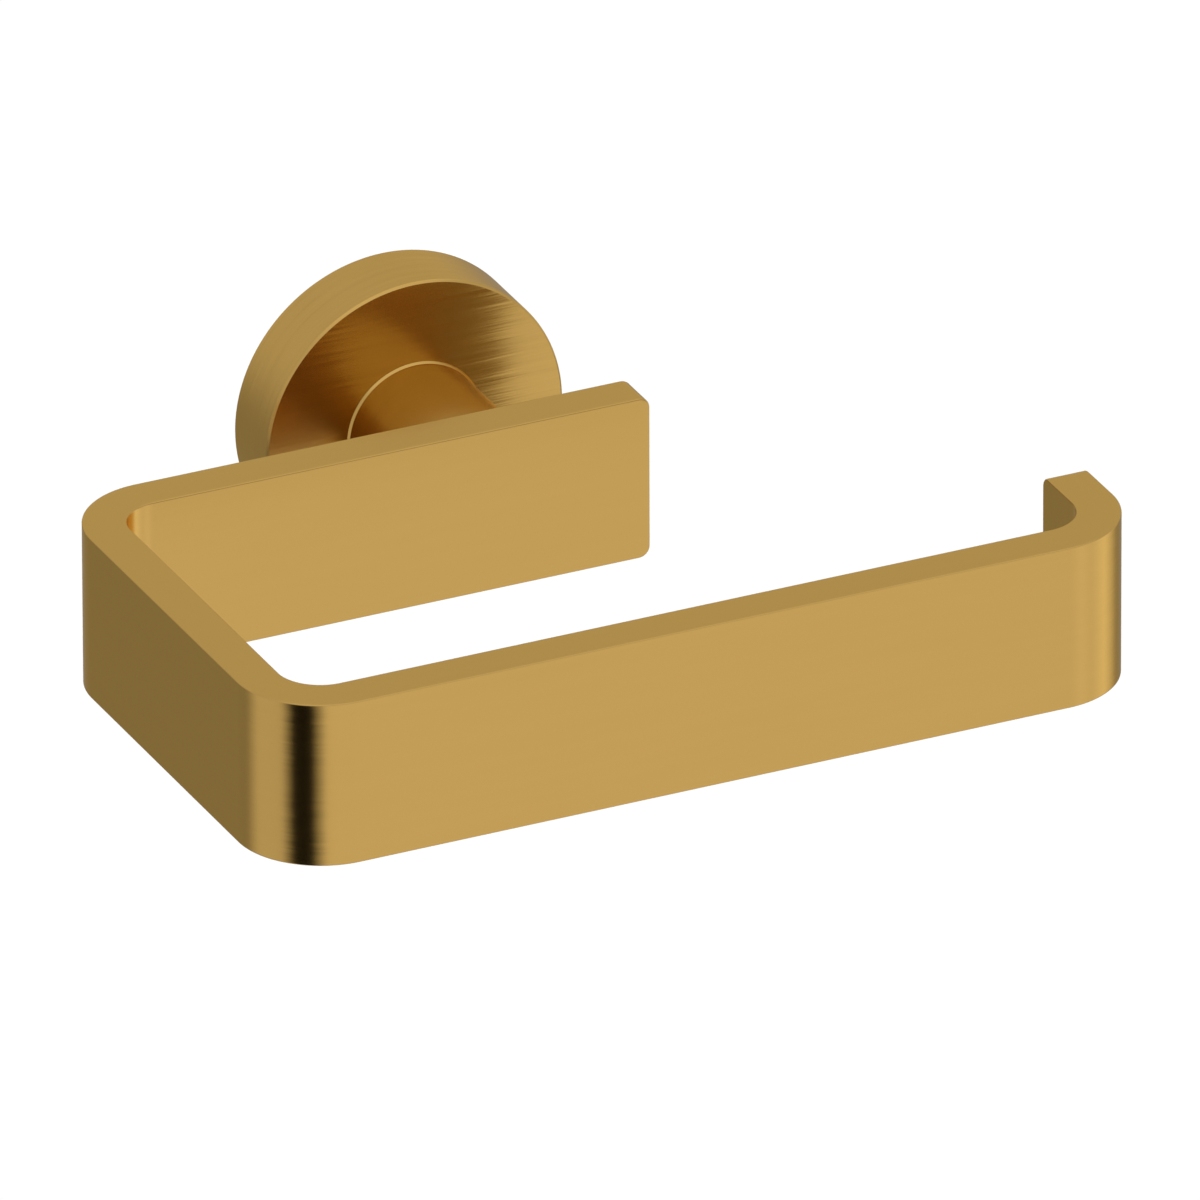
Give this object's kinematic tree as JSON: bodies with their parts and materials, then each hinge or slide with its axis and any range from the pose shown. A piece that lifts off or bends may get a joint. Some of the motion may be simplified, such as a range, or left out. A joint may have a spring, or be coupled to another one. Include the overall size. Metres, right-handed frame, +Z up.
{
  "type": "toilet paper holder",
  "caption": "Wall-mounted toilet paper holder: a flat brushed gold bar bent into an open loop, on a round post and a round wall rose.",
  "frame": {"origin": "on the wall plane, at the centre of the rose and of the bracket's back face", "axes": "+Z up, +X to the right along the wall, +Y into the wall; the bar reaches out from the wall towards -Y"},
  "size_m": [0.1614, 0.1538, 0.0552],
  "materials": {
    "brushed_gold": "brushed, satin gold",
    "bracket_steel": "turned, plain",
    "stainless_steel": "plain",
    "grey_nylon": "moulded"
  },
  "bodies": {
    "root": {"strap": "brushed_gold", "post": "brushed_gold", "rose": "brushed_gold", "wall_bracket": "bracket_steel", "joint_stud": "stainless_steel", "dowel_pin_left": "stainless_steel", "dowel_pin_right": "stainless_steel", "key_pin": "stainless_steel", "plain_washer": "stainless_steel", "spring_washer": "stainless_steel", "post_bolt": "stainless_steel", "grub_screw": "stainless_steel", "screw_washer_upper": "stainless_steel", "screw_washer_lower": "stainless_steel", "wall_screw_upper": "stainless_steel", "wall_screw_lower": "stainless_steel", "wall_plug_upper": "grey_nylon", "wall_plug_lower": "grey_nylon"}
  },
  "joints": []
}
